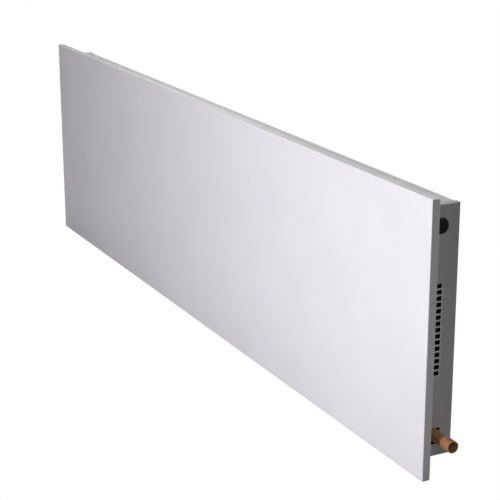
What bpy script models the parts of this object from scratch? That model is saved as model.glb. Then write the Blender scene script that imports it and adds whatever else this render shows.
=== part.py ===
"""Wall-hung hot-water baseboard heater: a slim sheet-metal casing with a flat front panel.

Frame: X runs along the heater, +X to its right end as seen from the room, which is on
the -Y side. The origin is the bottom centre of the whole heater: midway between the
wall and the front panel's face, level with the panel's bottom edge. Metres.
"""

import math

import bmesh
import bpy

MM = 0.001
GAP = 0.3 * MM  # clearance kept between neighbouring solids
CUT = 3 * MM  # cutters reach this far past a sheet on each side

# Overall size
LENGTH = 1200 * MM  # front panel, end to end
HEIGHT = 340 * MM  # front panel, bottom to top
DEPTH = 54 * MM  # wall to the front panel's face

# Front panel: a tray standing proud of the casing on all four sides
PANEL_DEPTH = 10.8 * MM
PANEL_SHEET = 1.2 * MM
PANEL_EDGE_RADIUS = 0.6 * MM
TOP_DROP = 14.6 * MM  # panel's top edge above the casing's top
BOTTOM_RISE = 17.4 * MM  # casing's bottom above the panel's bottom edge
END_INSET = 23 * MM  # casing stops this far short of each end of the panel

# Casing sheet metal
CASING_SHEET = 1.0 * MM
BEND_RADIUS = 0.8 * MM
END_FLANGE = 7.8 * MM  # flange turned in around each end plate
WALL_STANDOFF = 2.4 * MM  # casing's back to the wall
FRONT_FLANGE = 23 * MM
REAR_FLANGE = 12 * MM
BACK_FOLD = 9 * MM  # forward fold at each end of the back panel

# Faces that follow from the sizes above
FRONT = -DEPTH / 2
WALL = DEPTH / 2
PANEL_BACK = FRONT + PANEL_DEPTH
CASING_FRONT = PANEL_BACK + GAP
CASING_TOP = HEIGHT - TOP_DROP
CASING_BOTTOM = BOTTOM_RISE
CASING_END = LENGTH / 2 - END_INSET  # outer face of the right end plate
SKIN = CASING_SHEET + GAP  # one sheet and its clearance
INNER_END = CASING_END - SKIN
CHANNEL_END = CASING_END - END_FLANGE - GAP  # deck and tray butt on the end flanges
RAIL_FRONT = CASING_FRONT + SKIN
CASING_REAR = WALL - WALL_STANDOFF
BACK_SHEET_REAR = CASING_REAR - SKIN
BACK_SHEET_FRONT = BACK_SHEET_REAR - CASING_SHEET

# Openings in each end plate: vent slots, cable or pipe pass-through, water pipe
VENT_COUNT = 15
VENT_PITCH = 7.64 * MM
VENT_HEIGHT = 5.3 * MM
VENT_WIDTH = 14 * MM
VENT_TOP = 231.5 * MM
VENT_REAR = FRONT + 33.8 * MM
GROMMET_Y = FRONT + 29.0 * MM
GROMMET_Z = 300.4 * MM
GROMMET_RADIUS = 9.4 * MM
GROMMET_HOLE_RADIUS = 8.0 * MM
GROMMET_DISH_RADIUS = 6.0 * MM
GROMMET_DISH_HEIGHT = 1.0 * MM
GROMMET_RIM_HEIGHT = 1.8 * MM
GROMMET_RIM_CHAMFER = 0.8 * MM
GROMMET_BARB = 0.7 * MM  # how far the plug spreads behind the sheet
GROMMET_BARB_DEPTH = 1.7 * MM
GROMMET_DEPTH = 4.0 * MM
PIPE_HOLE = 20.1 * MM  # side of the square knock-out
PIPE_HOLE_FORWARD = 1.65 * MM  # knock-out's centre in front of the tube's
PIPE_HOLE_DROP = 2.15 * MM  # and below it

# Air openings
OUTLET_COUNT = 27
OUTLET_PITCH = 41 * MM
OUTLET_LENGTH = 33 * MM
OUTLET_WIDTH = 13 * MM
OUTLET_Y = FRONT + 22.5 * MM
INLET_COUNT = 14
INLET_PITCH = 79 * MM
INLET_LENGTH = 66 * MM
INLET_WIDTH = 22 * MM
INLET_Y = FRONT + 31 * MM

# Heating element: copper tube with pressed-on aluminium fins
TUBE_RADIUS = 7.5 * MM
TUBE_WALL = 1.0 * MM
TUBE_Y = FRONT + 30 * MM
TUBE_Z = 44.6 * MM
TUBE_TAIL = 16.5 * MM  # free tube beyond each end of the front panel
FIN_DEPTH = 29 * MM
FIN_HEIGHT = 38 * MM
FIN_SHEET = 0.5 * MM
FIN_PITCH = 18 * MM
COLLAR_BORE = 8.5 * MM
COLLAR_RADIUS = 9.4 * MM
FIN_CLEARANCE = 10 * MM  # free tube on each side of a support
FIN_END_SPACE = 48 * MM  # free tube inside each end of the casing

# Element supports
SUPPORT_X = {"left": -380 * MM, "centre": 0.0, "right": 380 * MM}
SUPPORT_SHEET = 1.2 * MM
SUPPORT_BOTTOM = 26 * MM
SUPPORT_TOP = 100 * MM
SUPPORT_FRONT = FRONT + 17 * MM
SUPPORT_TAB = 17 * MM
SUPPORT_TAB_FACE = BACK_SHEET_FRONT - GAP - SUPPORT_SHEET  # where the screw heads bear
SUPPORT_SCREW_Z = {"lower": 75 * MM, "upper": 91 * MM}
GLIDE_BODY_RADIUS = 10.2 * MM
GLIDE_FLANGE_RADIUS = 12.6 * MM
GLIDE_FLANGE = 2.2 * MM
GLIDE_BORE = TUBE_RADIUS + 0.45 * MM  # sliding fit on the tube
SUPPORT_SHANK = 4.2 * MM  # length of the screws that hold the supports

# Damper under the outlet
DAMPER_Y = FRONT + 34 * MM
DAMPER_Z = 317.6 * MM
DAMPER_BLADE = 18.4 * MM
DAMPER_SHEET = 1.2 * MM
DAMPER_HALF_LENGTH = 560 * MM
DAMPER_LIP = 4 * MM
DAMPER_ROD_RADIUS = 2.0 * MM
DAMPER_ROD_OVERHANG = 4 * MM  # rod beyond each bracket
DAMPER_BRACKET_X = 564 * MM
DAMPER_BRACKET_DROP = 6 * MM  # bracket's lower end below the rod's axis
DAMPER_BRACKET_TAB = 12 * MM
DAMPER_BRACKET_HALF_WIDTH = 7 * MM

# Hangers that hook the front panel on the casing's front rails
HANGER_SHEET = 1.2 * MM
HANGER_WIDTH = 24 * MM
HANGER_HOOK = 7.3 * MM
HANGER_PAD = 21 * MM
TOP_HANGERS = {"left": -450 * MM, "centre": 0.0, "right": 450 * MM}
BOTTOM_HANGERS = {"left": -450 * MM, "right": 450 * MM}
TOP_HOOK_Z = 304.3 * MM
HOOK_SLOT_HEIGHT = 12 * MM
HOOK_SLOT_WIDTH = 32 * MM

# Hat ribs behind the front panel
RIB_LEVELS = {"upper": 0.68, "lower": 0.32}  # shares of the panel's height
RIB_LENGTH = 0.9 * LENGTH
RIB_FLANGE = 10 * MM
RIB_CROWN = 20 * MM
RIB_DEPTH = 6 * MM

# Wall fixing
FIXING_X = 300 * MM
FIXING_Z = {"lower": 80 * MM, "upper": 280 * MM}
FIXING_HOLE_RADIUS = 3.0 * MM
SPACER_RADIUS = 10 * MM

# Screws
SCREW_RADIUS = 1.7 * MM
SCREW_HOLE_RADIUS = 2.1 * MM
SCREW_HEAD_RADIUS = 3.4 * MM
SCREW_HEAD = 1.9 * MM
SCREW_CROWN = (0.7, 0.85)  # dome's shoulder, as shares of the head's radius and height
SCREW_RIM = 0.35  # top of the head's straight side, as a share of its height
END_SHANK = 6 * MM  # length of the screws that hold the end plates
END_SCREW_Y = FRONT + 18.5 * MM
END_SCREW_Z = {"lower": CASING_BOTTOM + 7.9 * MM, "upper": CASING_TOP - 7.7 * MM}
END_TAB_WIDTH = 11 * MM
END_TAB = 13.5 * MM  # tab's reach below the deck and above the tray

ALONG_X = (0, math.pi / 2, 0)
ALONG_MINUS_X = (0, -math.pi / 2, 0)
ALONG_MINUS_Y = (math.pi / 2, 0, 0)


# ---------------------------------------------------------------- materials


def material(name, colour, roughness, metallic):
    made = bpy.data.materials.new(name)
    made.use_nodes = True
    shader = made.node_tree.nodes["Principled BSDF"]
    shader.inputs["Base Color"].default_value = (*colour, 1)
    shader.inputs["Roughness"].default_value = roughness
    shader.inputs["Metallic"].default_value = metallic
    made.diffuse_color = (*colour, 1)
    return made


def panel_paint():
    return material("panel_white_enamel", (0.84, 0.83, 0.86), 0.35, 0)


def casing_paint():
    return material("casing_light_grey_enamel", (0.62, 0.62, 0.63), 0.45, 0)


def galvanised_steel():
    return material("galvanised_steel", (0.56, 0.57, 0.58), 0.5, 1)


def copper():
    return material("copper", (0.72, 0.42, 0.28), 0.35, 1)


def fin_aluminium():
    return material("fin_aluminium", (0.77, 0.78, 0.79), 0.4, 1)


def black_rubber():
    return material("black_rubber", (0.02, 0.02, 0.02), 0.7, 0)


def white_nylon():
    return material("white_nylon", (0.8, 0.79, 0.74), 0.5, 0)


def zinc_plate():
    return material("zinc_plate", (0.62, 0.62, 0.6), 0.35, 1)


# ---------------------------------------------------------------- shape tools


def clear_scene():
    for old in list(bpy.data.objects):
        bpy.data.objects.remove(old, do_unlink=True)


def add_object(name, mesh_source, location=(0, 0, 0), parent=None):
    """Turns a bmesh into an object whose location is given in world coordinates."""
    mesh = bpy.data.meshes.new(name)
    mesh_source.to_mesh(mesh)
    mesh_source.free()
    made = bpy.data.objects.new(name, mesh)
    bpy.context.scene.collection.objects.link(made)
    made.location = location
    if parent:
        made.parent = parent
        made.location = made.location - parent.location
    return made


def add_solid(name, mesh_source, **placing):
    """Turns a bmesh into an object with every face turned outwards."""
    bmesh.ops.recalc_face_normals(mesh_source, faces=mesh_source.faces)
    return add_object(name, mesh_source, **placing)


def add_pivot(name, location):
    """An empty that marks a joint and carries the pieces which move on it."""
    pivot = bpy.data.objects.new(name, None)
    pivot.location = location
    bpy.context.scene.collection.objects.link(pivot)
    return pivot


def box_into(target, low, high):
    """Adds one box between two opposite corners to a bmesh."""
    corners = bmesh.ops.create_cube(target, size=1)["verts"]
    size = [b - a for a, b in zip(low, high)]
    middle = [(a + b) / 2 for a, b in zip(low, high)]
    bmesh.ops.scale(target, vec=size, verts=corners)
    bmesh.ops.translate(target, vec=middle, verts=corners)


def boxes(name, corner_pairs, **placing):
    target = bmesh.new()
    for low, high in corner_pairs:
        box_into(target, low, high)
    return add_solid(name, target, **placing)


def rod(name, radius, length, sides=16, rotation=ALONG_X, **placing):
    """A cylinder centred on its location, its axis turned from Z by the rotation."""
    target = bmesh.new()
    bmesh.ops.create_cone(
        target,
        cap_ends=True,
        segments=sides,
        radius1=radius,
        radius2=radius,
        depth=length,
    )
    made = add_solid(name, target, **placing)
    made.rotation_euler = rotation
    return made


def turned(name, outline, sides, rotation=(0, 0, 0), **placing):
    """Spins an outline of (radius, height) points about Z.

    An outline that starts and ends on the axis gives a solid; any other is joined up
    into a ring.
    """
    target = bmesh.new()
    points = [target.verts.new((radius, 0, height)) for radius, height in outline]
    edges = [target.edges.new(pair) for pair in zip(points, points[1:])]
    if outline[0][0] > 0:
        edges.append(target.edges.new((points[-1], points[0])))
    bmesh.ops.spin(
        target,
        geom=points + edges,
        cent=(0, 0, 0),
        axis=(0, 0, 1),
        angle=2 * math.pi,
        steps=sides,
        use_merge=True,
    )
    bmesh.ops.remove_doubles(target, verts=target.verts, dist=1e-6)
    made = add_solid(name, target, **placing)
    made.rotation_euler = rotation
    made.data.shade_smooth()
    made.data.set_sharp_from_angle(angle=math.radians(35))
    return made


def folded_sheet(name, axis, path, start, end, thickness, bend=0.0, **placing):
    """A bent sheet: a path drawn across the given axis and drawn out along it.

    The path is in the two axes that follow the given one (X: y, z; Y: z, x; Z: x, y).
    Seen from the axis's positive end, the metal lies to the left of the path.
    """
    order = "XYZ".index(axis)

    def point(along, pair):
        placed = [0.0, 0.0, 0.0]
        placed[order] = along
        placed[(order + 1) % 3], placed[(order + 2) % 3] = pair
        return placed

    target = bmesh.new()
    near = [target.verts.new(point(start, pair)) for pair in path]
    far = [target.verts.new(point(end, pair)) for pair in path]
    for i in range(len(path) - 1):
        target.faces.new((near[i], near[i + 1], far[i + 1], far[i]))
    folds = [target.edges.get((a, b)) for a, b in zip(near[1:-1], far[1:-1])]
    if bend and folds:
        bmesh.ops.bevel(target, geom=folds, offset=bend, segments=2, affect="EDGES", profile=0.5)
    made = add_object(name, target, **placing)
    thicken(made, thickness)
    return made


def thicken(sheet, thickness):
    """Grows a sheet to its thickness on the side its faces point away from."""
    solidify = sheet.modifiers.new("thickness", "SOLIDIFY")
    solidify.thickness = thickness
    solidify.offset = -1
    solidify.use_even_offset = True
    solidify.use_quality_normals = True


def open_box(name, low, high, missing, thickness, **placing):
    """A sheet-metal tray: a box with its face on the missing side left out."""
    target = bmesh.new()
    box_into(target, low, high)
    target.normal_update()
    open_face = max(target.faces, key=lambda face: sum(a * b for a, b in zip(face.normal, missing)))
    bmesh.ops.delete(target, geom=[open_face], context="FACES_ONLY")
    made = add_object(name, target, **placing)
    thicken(made, thickness)
    return made


def combine(body, tool, operation):
    """Adds or removes a hidden tool shape; it moves with the body."""
    tool.hide_render = True
    tool.display_type = "WIRE"
    boolean = body.modifiers.new(tool.name, "BOOLEAN")
    boolean.operation = operation
    boolean.solver = "MANIFOLD" if operation == "UNION" else "EXACT"
    boolean.object = tool


def round_edges(body, radius, segments):
    bevel = body.modifiers.new("rounded edges", "BEVEL")
    bevel.width = radius
    bevel.segments = segments
    bevel.limit_method = "ANGLE"
    bevel.angle_limit = math.radians(40)


def paint(body, look):
    body.data.materials.append(look)


# ---------------------------------------------------------------- casing


def evenly_spaced(count, pitch):
    return [(i - (count - 1) / 2) * pitch for i in range(count)]


def end_plate(name, side, look):
    """End plate with its flange turned in all round; side is +1 right, -1 left."""
    face = side * CASING_END
    inward = face - side * END_FLANGE
    plate = open_box(
        name,
        (min(face, inward), CASING_FRONT, CASING_BOTTOM),
        (max(face, inward), WALL, CASING_TOP),
        missing=(-side, 0, 0),
        thickness=CASING_SHEET,
    )
    near, far = face - CUT, face + CUT
    openings = []
    for i in range(VENT_COUNT):
        top = VENT_TOP - i * VENT_PITCH
        low = (near, VENT_REAR - VENT_WIDTH, top - VENT_HEIGHT)
        openings.append((low, (far, VENT_REAR, top)))
    hole_y = TUBE_Y - PIPE_HOLE_FORWARD
    hole_z = TUBE_Z - PIPE_HOLE_DROP
    half = PIPE_HOLE / 2
    openings.append(((near, hole_y - half, hole_z - half), (far, hole_y + half, hole_z + half)))
    combine(plate, boxes(name + "_openings", openings), "DIFFERENCE")
    grommet_hole = rod(
        name + "_grommet_hole",
        GROMMET_HOLE_RADIUS,
        2 * CUT,
        sides=24,
        location=(face, GROMMET_Y, GROMMET_Z),
    )
    combine(plate, grommet_hole, "DIFFERENCE")
    for level, height in END_SCREW_Z.items():
        hole = rod(
            f"{name}_screw_hole_{level}",
            SCREW_HOLE_RADIUS,
            2 * CUT,
            location=(face, END_SCREW_Y, height),
        )
        combine(plate, hole, "DIFFERENCE")
    paint(plate, look)


def end_tabs(channel, outside, inwards):
    """Tabs stepped under the end plates' flanges and folded along their faces.

    outside is the height of the channel's outer face; inwards is -1 down or +1 up.
    """
    shelf = outside + inwards * SKIN
    step = CHANNEL_END - GAP
    face = INNER_END - GAP
    outline = [
        (outside + inwards * CASING_SHEET / 2, step),
        (shelf, step),
        (shelf, face),
        (outside + inwards * END_TAB, face),
    ]
    level = "upper" if inwards < 0 else "lower"
    for side_name, side in (("right", 1), ("left", -1)):
        path = [(z, side * x) for z, x in outline]
        if side == inwards:
            path.reverse()
        tab = folded_sheet(
            f"{channel.name}_tab_{side_name}",
            "Y",
            path,
            END_SCREW_Y - END_TAB_WIDTH / 2,
            END_SCREW_Y + END_TAB_WIDTH / 2,
            CASING_SHEET,
        )
        combine(channel, tab, "UNION")
        hole = rod(
            f"{channel.name}_tab_hole_{side_name}",
            SCREW_HOLE_RADIUS,
            2 * CUT,
            location=(side * INNER_END, END_SCREW_Y, END_SCREW_Z[level]),
        )
        combine(channel, hole, "DIFFERENCE")


def top_deck(look):
    """Channel over the casing: warm-air slots on top, hook slots in its front flange."""
    deck = folded_sheet(
        "top_deck",
        "X",
        [
            (CASING_REAR, CASING_TOP - REAR_FLANGE),
            (CASING_REAR, CASING_TOP),
            (RAIL_FRONT, CASING_TOP),
            (RAIL_FRONT, CASING_TOP - FRONT_FLANGE),
        ],
        -CHANNEL_END,
        CHANNEL_END,
        CASING_SHEET,
        bend=BEND_RADIUS,
    )
    slots = [
        (
            (x - OUTLET_LENGTH / 2, OUTLET_Y - OUTLET_WIDTH / 2, CASING_TOP - CUT),
            (x + OUTLET_LENGTH / 2, OUTLET_Y + OUTLET_WIDTH / 2, CASING_TOP + CUT),
        )
        for x in evenly_spaced(OUTLET_COUNT, OUTLET_PITCH)
    ]
    hook_low = TOP_HOOK_Z - GAP
    hook_high = hook_low + HOOK_SLOT_HEIGHT
    slots += [
        (
            (x - HOOK_SLOT_WIDTH / 2, RAIL_FRONT - CUT, hook_low),
            (x + HOOK_SLOT_WIDTH / 2, RAIL_FRONT + CUT, hook_high),
        )
        for x in TOP_HANGERS.values()
    ]
    end_tabs(deck, CASING_TOP, -1)
    combine(deck, boxes("top_deck_slots", slots), "DIFFERENCE")
    paint(deck, look)


def bottom_tray(look):
    """Channel under the casing, with the cool-air openings in it."""
    tray = folded_sheet(
        "bottom_tray",
        "X",
        [
            (RAIL_FRONT, CASING_BOTTOM + FRONT_FLANGE),
            (RAIL_FRONT, CASING_BOTTOM),
            (CASING_REAR, CASING_BOTTOM),
            (CASING_REAR, CASING_BOTTOM + REAR_FLANGE),
        ],
        -CHANNEL_END,
        CHANNEL_END,
        CASING_SHEET,
        bend=BEND_RADIUS,
    )
    openings = [
        (
            (x - INLET_LENGTH / 2, INLET_Y - INLET_WIDTH / 2, CASING_BOTTOM - CUT),
            (x + INLET_LENGTH / 2, INLET_Y + INLET_WIDTH / 2, CASING_BOTTOM + CUT),
        )
        for x in evenly_spaced(INLET_COUNT, INLET_PITCH)
    ]
    end_tabs(tray, CASING_BOTTOM, 1)
    combine(tray, boxes("bottom_tray_openings", openings), "DIFFERENCE")
    paint(tray, look)


def back_panel(look):
    """Back sheet with its ends folded forward, holed for the wall and the supports."""
    panel = folded_sheet(
        "back_panel",
        "Z",
        [
            (INNER_END, BACK_SHEET_REAR - BACK_FOLD),
            (INNER_END, BACK_SHEET_REAR),
            (-INNER_END, BACK_SHEET_REAR),
            (-INNER_END, BACK_SHEET_REAR - BACK_FOLD),
        ],
        CASING_BOTTOM + SKIN,
        CASING_TOP - SKIN,
        CASING_SHEET,
    )
    holes = [
        (x, height, FIXING_HOLE_RADIUS)
        for x in (-FIXING_X, FIXING_X)
        for height in FIXING_Z.values()
    ]
    holes += [
        (x + SUPPORT_TAB / 2, height, SCREW_HOLE_RADIUS)
        for x in SUPPORT_X.values()
        for height in SUPPORT_SCREW_Z.values()
    ]
    for number, (x, height, radius) in enumerate(holes, 1):
        hole = rod(
            f"back_panel_hole_{number}",
            radius,
            2 * CUT,
            rotation=ALONG_MINUS_Y,
            location=(x, BACK_SHEET_REAR, height),
        )
        combine(panel, hole, "DIFFERENCE")
    paint(panel, look)


def wall_spacer(name, x, height, look):
    """Ring that carries the back panel off the wall round one fixing hole."""
    thickness = WALL - BACK_SHEET_REAR - GAP
    ring = turned(
        name,
        [
            (FIXING_HOLE_RADIUS, 0),
            (SPACER_RADIUS, 0),
            (SPACER_RADIUS, thickness),
            (FIXING_HOLE_RADIUS, thickness),
        ],
        sides=20,
        rotation=ALONG_MINUS_Y,
        location=(x, WALL, height),
    )
    paint(ring, look)


def blanking_grommet(name, side, look):
    """Plug with a dished face that closes an end plate's pass-through."""
    neck = GROMMET_HOLE_RADIUS - GAP
    plug = turned(
        name,
        [
            (0, GROMMET_DISH_HEIGHT),
            (GROMMET_DISH_RADIUS, GROMMET_DISH_HEIGHT),
            (GROMMET_DISH_RADIUS + GROMMET_RIM_CHAMFER, GROMMET_RIM_HEIGHT),
            (GROMMET_RADIUS - GROMMET_RIM_CHAMFER, GROMMET_RIM_HEIGHT),
            (GROMMET_RADIUS, GROMMET_RIM_HEIGHT - GROMMET_RIM_CHAMFER),
            (GROMMET_RADIUS, GAP),
            (neck, GAP),
            (neck, -SKIN),
            (GROMMET_HOLE_RADIUS + GROMMET_BARB, -GROMMET_BARB_DEPTH),
            (neck, -GROMMET_DEPTH),
            (0, -GROMMET_DEPTH),
        ],
        sides=24,
        rotation=ALONG_X if side > 0 else ALONG_MINUS_X,
        location=(side * CASING_END, GROMMET_Y, GROMMET_Z),
    )
    paint(plug, look)


# ---------------------------------------------------------------- screws


def pan_screw(name, shank, rotation, location, look):
    """Screw whose head sits above its location and whose shank runs below it."""
    crown_out, crown_up = SCREW_CROWN
    screw = turned(
        name,
        [
            (0, SCREW_HEAD),
            (SCREW_HEAD_RADIUS * crown_out, SCREW_HEAD * crown_up),
            (SCREW_HEAD_RADIUS, SCREW_HEAD * SCREW_RIM),
            (SCREW_HEAD_RADIUS, GAP),
            (SCREW_RADIUS, GAP),
            (SCREW_RADIUS, -shank + SCREW_RADIUS),
            (0, -shank),
        ],
        sides=12,
        rotation=rotation,
        location=location,
    )
    paint(screw, look)


# ---------------------------------------------------------------- heating element


def element_tube(pivot, look):
    """Copper water tube, open at both ends."""
    end = LENGTH / 2 + TUBE_TAIL
    tube = turned(
        "element_tube",
        [
            (TUBE_RADIUS - TUBE_WALL, -end),
            (TUBE_RADIUS, -end),
            (TUBE_RADIUS, end),
            (TUBE_RADIUS - TUBE_WALL, end),
        ],
        sides=32,
        rotation=ALONG_X,
        location=pivot.location,
        parent=pivot,
    )
    paint(tube, look)


def rectangle_of_eight(half_width, half_height):
    """Corners and mid-sides of a rectangle, anticlockwise from the middle of one side."""
    w, h = half_width, half_height
    return [(w, 0), (w, h), (0, h), (-w, h), (-w, 0), (-w, -h), (0, -h), (w, -h)]


def circle_of_eight(radius):
    angles = [math.radians(45 * i) for i in range(8)]
    return [(radius * math.cos(angle), radius * math.sin(angle)) for angle in angles]


def fin_pack(name, start, end, pivot, look):
    """Run of fins whose collars butt together into one sleeve round the tube."""
    bore = circle_of_eight(COLLAR_BORE)
    collar = circle_of_eight(COLLAR_RADIUS)
    fin = rectangle_of_eight(FIN_DEPTH / 2, FIN_HEIGHT / 2)
    count = round((end - start) / FIN_PITCH)
    pitch = (end - start - FIN_SHEET) / count
    loops = [(start, bore)]
    for i in range(count + 1):
        x = start + i * pitch
        if i > 0:
            loops.append((x, collar))
        loops.append((x, fin))
        loops.append((x + FIN_SHEET, fin))
        if i < count:
            loops.append((x + FIN_SHEET, collar))
    loops.append((end, bore))
    target = bmesh.new()
    rings = [[target.verts.new((x, y, z)) for y, z in outline] for x, outline in loops]
    for near, far in zip(rings, rings[1:] + rings[:1]):
        for i in range(len(near)):
            j = (i + 1) % len(near)
            target.faces.new((near[i], near[j], far[j], far[i]))
    pack = add_solid(name, target, location=pivot.location, parent=pivot)
    paint(pack, look)


def support_bracket(name, x, look):
    """Angle screwed to the back panel, with a forward-facing notch for the tube."""
    bracket = folded_sheet(
        name,
        "Z",
        [(0, SUPPORT_FRONT), (0, SUPPORT_TAB_FACE), (SUPPORT_TAB, SUPPORT_TAB_FACE)],
        SUPPORT_BOTTOM,
        SUPPORT_TOP,
        SUPPORT_SHEET,
        location=(x, 0, 0),
    )
    notch_radius = GLIDE_BODY_RADIUS + GAP
    notch_round = rod(
        name + "_notch_round",
        notch_radius,
        2 * CUT,
        sides=24,
        location=(x, TUBE_Y, TUBE_Z),
    )
    combine(bracket, notch_round, "DIFFERENCE")
    notch_mouth = boxes(
        name + "_notch_mouth",
        [
            (
                (x - CUT, SUPPORT_FRONT - CUT, TUBE_Z - notch_radius),
                (x + CUT, TUBE_Y, TUBE_Z + notch_radius),
            )
        ],
    )
    combine(bracket, notch_mouth, "DIFFERENCE")
    for level, height in SUPPORT_SCREW_Z.items():
        hole = rod(
            f"{name}_screw_hole_{level}",
            SCREW_HOLE_RADIUS,
            2 * CUT,
            rotation=ALONG_MINUS_Y,
            location=(x + SUPPORT_TAB / 2, SUPPORT_TAB_FACE, height),
        )
        combine(bracket, hole, "DIFFERENCE")
    paint(bracket, look)


def tube_glide(name, x, look):
    """Nylon spool in a support's notch, in which the tube slides as it warms up."""
    flange = GLIDE_FLANGE_RADIUS
    half_groove = SUPPORT_SHEET / 2 + GAP
    half_width = half_groove + GLIDE_FLANGE
    glide = turned(
        name,
        [
            (GLIDE_BORE, -half_width),
            (flange, -half_width),
            (flange, -half_groove),
            (GLIDE_BODY_RADIUS, -half_groove),
            (GLIDE_BODY_RADIUS, half_groove),
            (flange, half_groove),
            (flange, half_width),
            (GLIDE_BORE, half_width),
        ],
        sides=20,
        rotation=ALONG_X,
        location=(x - SUPPORT_SHEET / 2, TUBE_Y, TUBE_Z),
    )
    paint(glide, look)


# ---------------------------------------------------------------- damper


def damper_blade(pivot, look):
    """Blade hanging from a hinge rod; it swings forward and up to close the outlet."""
    half = DAMPER_SHEET / 2
    blade = folded_sheet(
        "damper_blade",
        "X",
        [(-half, 0), (-half, -DAMPER_BLADE), (DAMPER_LIP, -DAMPER_BLADE)],
        -DAMPER_HALF_LENGTH,
        DAMPER_HALF_LENGTH,
        DAMPER_SHEET,
        location=pivot.location,
        parent=pivot,
    )
    hinge_rod = rod(
        "damper_rod",
        DAMPER_ROD_RADIUS,
        2 * (DAMPER_BRACKET_X + DAMPER_ROD_OVERHANG),
        location=pivot.location,
        parent=pivot,
    )
    combine(blade, hinge_rod, "UNION")
    paint(blade, look)


def damper_bracket(name, side, look):
    """Angle under the deck that holds one end of the damper's rod."""
    underside = CASING_TOP - SKIN
    bend = underside - DAMPER_SHEET
    foot = DAMPER_Z - DAMPER_BRACKET_DROP
    near = DAMPER_BRACKET_X
    far = DAMPER_BRACKET_X - DAMPER_BRACKET_TAB
    path = [(foot, near), (bend, near), (bend, far)]
    if side < 0:
        path = [(z, -x) for z, x in reversed(path)]
    bracket = folded_sheet(
        name,
        "Y",
        path,
        DAMPER_Y - DAMPER_BRACKET_HALF_WIDTH,
        DAMPER_Y + DAMPER_BRACKET_HALF_WIDTH,
        DAMPER_SHEET,
    )
    hole = rod(
        name + "_hole",
        DAMPER_ROD_RADIUS + GAP,
        2 * CUT,
        location=(side * near, DAMPER_Y, DAMPER_Z),
    )
    combine(bracket, hole, "DIFFERENCE")
    paint(bracket, look)


# ---------------------------------------------------------------- front panel


def front_panel(pivot, look):
    """Flat tray with its four edges turned back towards the casing."""
    shift = pivot.location
    panel = open_box(
        "front_panel",
        (-LENGTH / 2, FRONT - shift.y, -shift.z),
        (LENGTH / 2, PANEL_BACK - shift.y, HEIGHT - shift.z),
        missing=(0, 1, 0),
        thickness=PANEL_SHEET,
        location=shift,
        parent=pivot,
    )
    round_edges(panel, PANEL_EDGE_RADIUS, segments=2)
    paint(panel, look)


def panel_hanger(name, x, hook_z, pivot, look):
    """Pad on the panel's inner face, arm over the rail, and a tongue down behind it."""
    pad_rear = FRONT + PANEL_SHEET + GAP + HANGER_SHEET
    tongue_front = RAIL_FRONT + SKIN
    hanger = folded_sheet(
        name,
        "X",
        [
            (pad_rear, hook_z - HANGER_PAD),
            (pad_rear, hook_z),
            (tongue_front, hook_z),
            (tongue_front, hook_z - HANGER_HOOK),
        ],
        x - HANGER_WIDTH / 2,
        x + HANGER_WIDTH / 2,
        HANGER_SHEET,
        parent=pivot,
    )
    paint(hanger, look)


def panel_stiffener(name, height, pivot, look):
    """Hat-section rib along the back of the panel."""
    flange_face = FRONT + PANEL_SHEET + GAP + CASING_SHEET
    crown_face = flange_face + RIB_DEPTH
    crown_low, crown_high = height - RIB_CROWN / 2, height + RIB_CROWN / 2
    rib = folded_sheet(
        name,
        "X",
        [
            (flange_face, crown_low - RIB_FLANGE),
            (flange_face, crown_low),
            (crown_face, crown_low),
            (crown_face, crown_high),
            (flange_face, crown_high),
            (flange_face, crown_high + RIB_FLANGE),
        ],
        -RIB_LENGTH / 2,
        RIB_LENGTH / 2,
        CASING_SHEET,
        parent=pivot,
    )
    paint(rib, look)


# ---------------------------------------------------------------- assembly


def build_casing(steel, grey, zinc, rubber):
    back_panel(steel)
    top_deck(grey)
    bottom_tray(steel)
    for side_name, side in (("right", 1), ("left", -1)):
        end_plate("end_plate_" + side_name, side, grey)
        blanking_grommet("blanking_grommet_" + side_name, side, rubber)
        spacer_x = side * FIXING_X
        for level, height in FIXING_Z.items():
            wall_spacer(f"wall_spacer_{side_name}_{level}", spacer_x, height, rubber)
        for level, height in END_SCREW_Z.items():
            pan_screw(
                f"end_screw_{side_name}_{level}",
                END_SHANK,
                ALONG_X if side > 0 else ALONG_MINUS_X,
                (side * CASING_END, END_SCREW_Y, height),
                zinc,
            )


def build_supports(steel, nylon, zinc):
    for place, x in SUPPORT_X.items():
        support_bracket("support_bracket_" + place, x, steel)
        tube_glide("tube_glide_" + place, x, nylon)
        for level, height in SUPPORT_SCREW_Z.items():
            pan_screw(
                f"support_screw_{place}_{level}",
                SUPPORT_SHANK,
                ALONG_MINUS_Y,
                (x + SUPPORT_TAB / 2, SUPPORT_TAB_FACE, height),
                zinc,
            )


def build_element(metal, fins):
    pivot = add_pivot("element_slide", (0, TUBE_Y, TUBE_Z))
    element_tube(pivot, metal)
    last = INNER_END - FIN_END_SPACE
    inner_left, inner_right = SUPPORT_X["left"], SUPPORT_X["right"]
    runs = {
        "fin_pack_left_end": (-last, inner_left - FIN_CLEARANCE),
        "fin_pack_left": (inner_left + FIN_CLEARANCE, -FIN_CLEARANCE),
        "fin_pack_right": (FIN_CLEARANCE, inner_right - FIN_CLEARANCE),
        "fin_pack_right_end": (inner_right + FIN_CLEARANCE, last),
    }
    for name, (start, end) in runs.items():
        fin_pack(name, start, end, pivot, fins)


def build_damper(steel):
    pivot = add_pivot("damper_axis", (0, DAMPER_Y, DAMPER_Z))
    damper_blade(pivot, steel)
    damper_bracket("damper_bracket_right", 1, steel)
    damper_bracket("damper_bracket_left", -1, steel)


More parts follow.
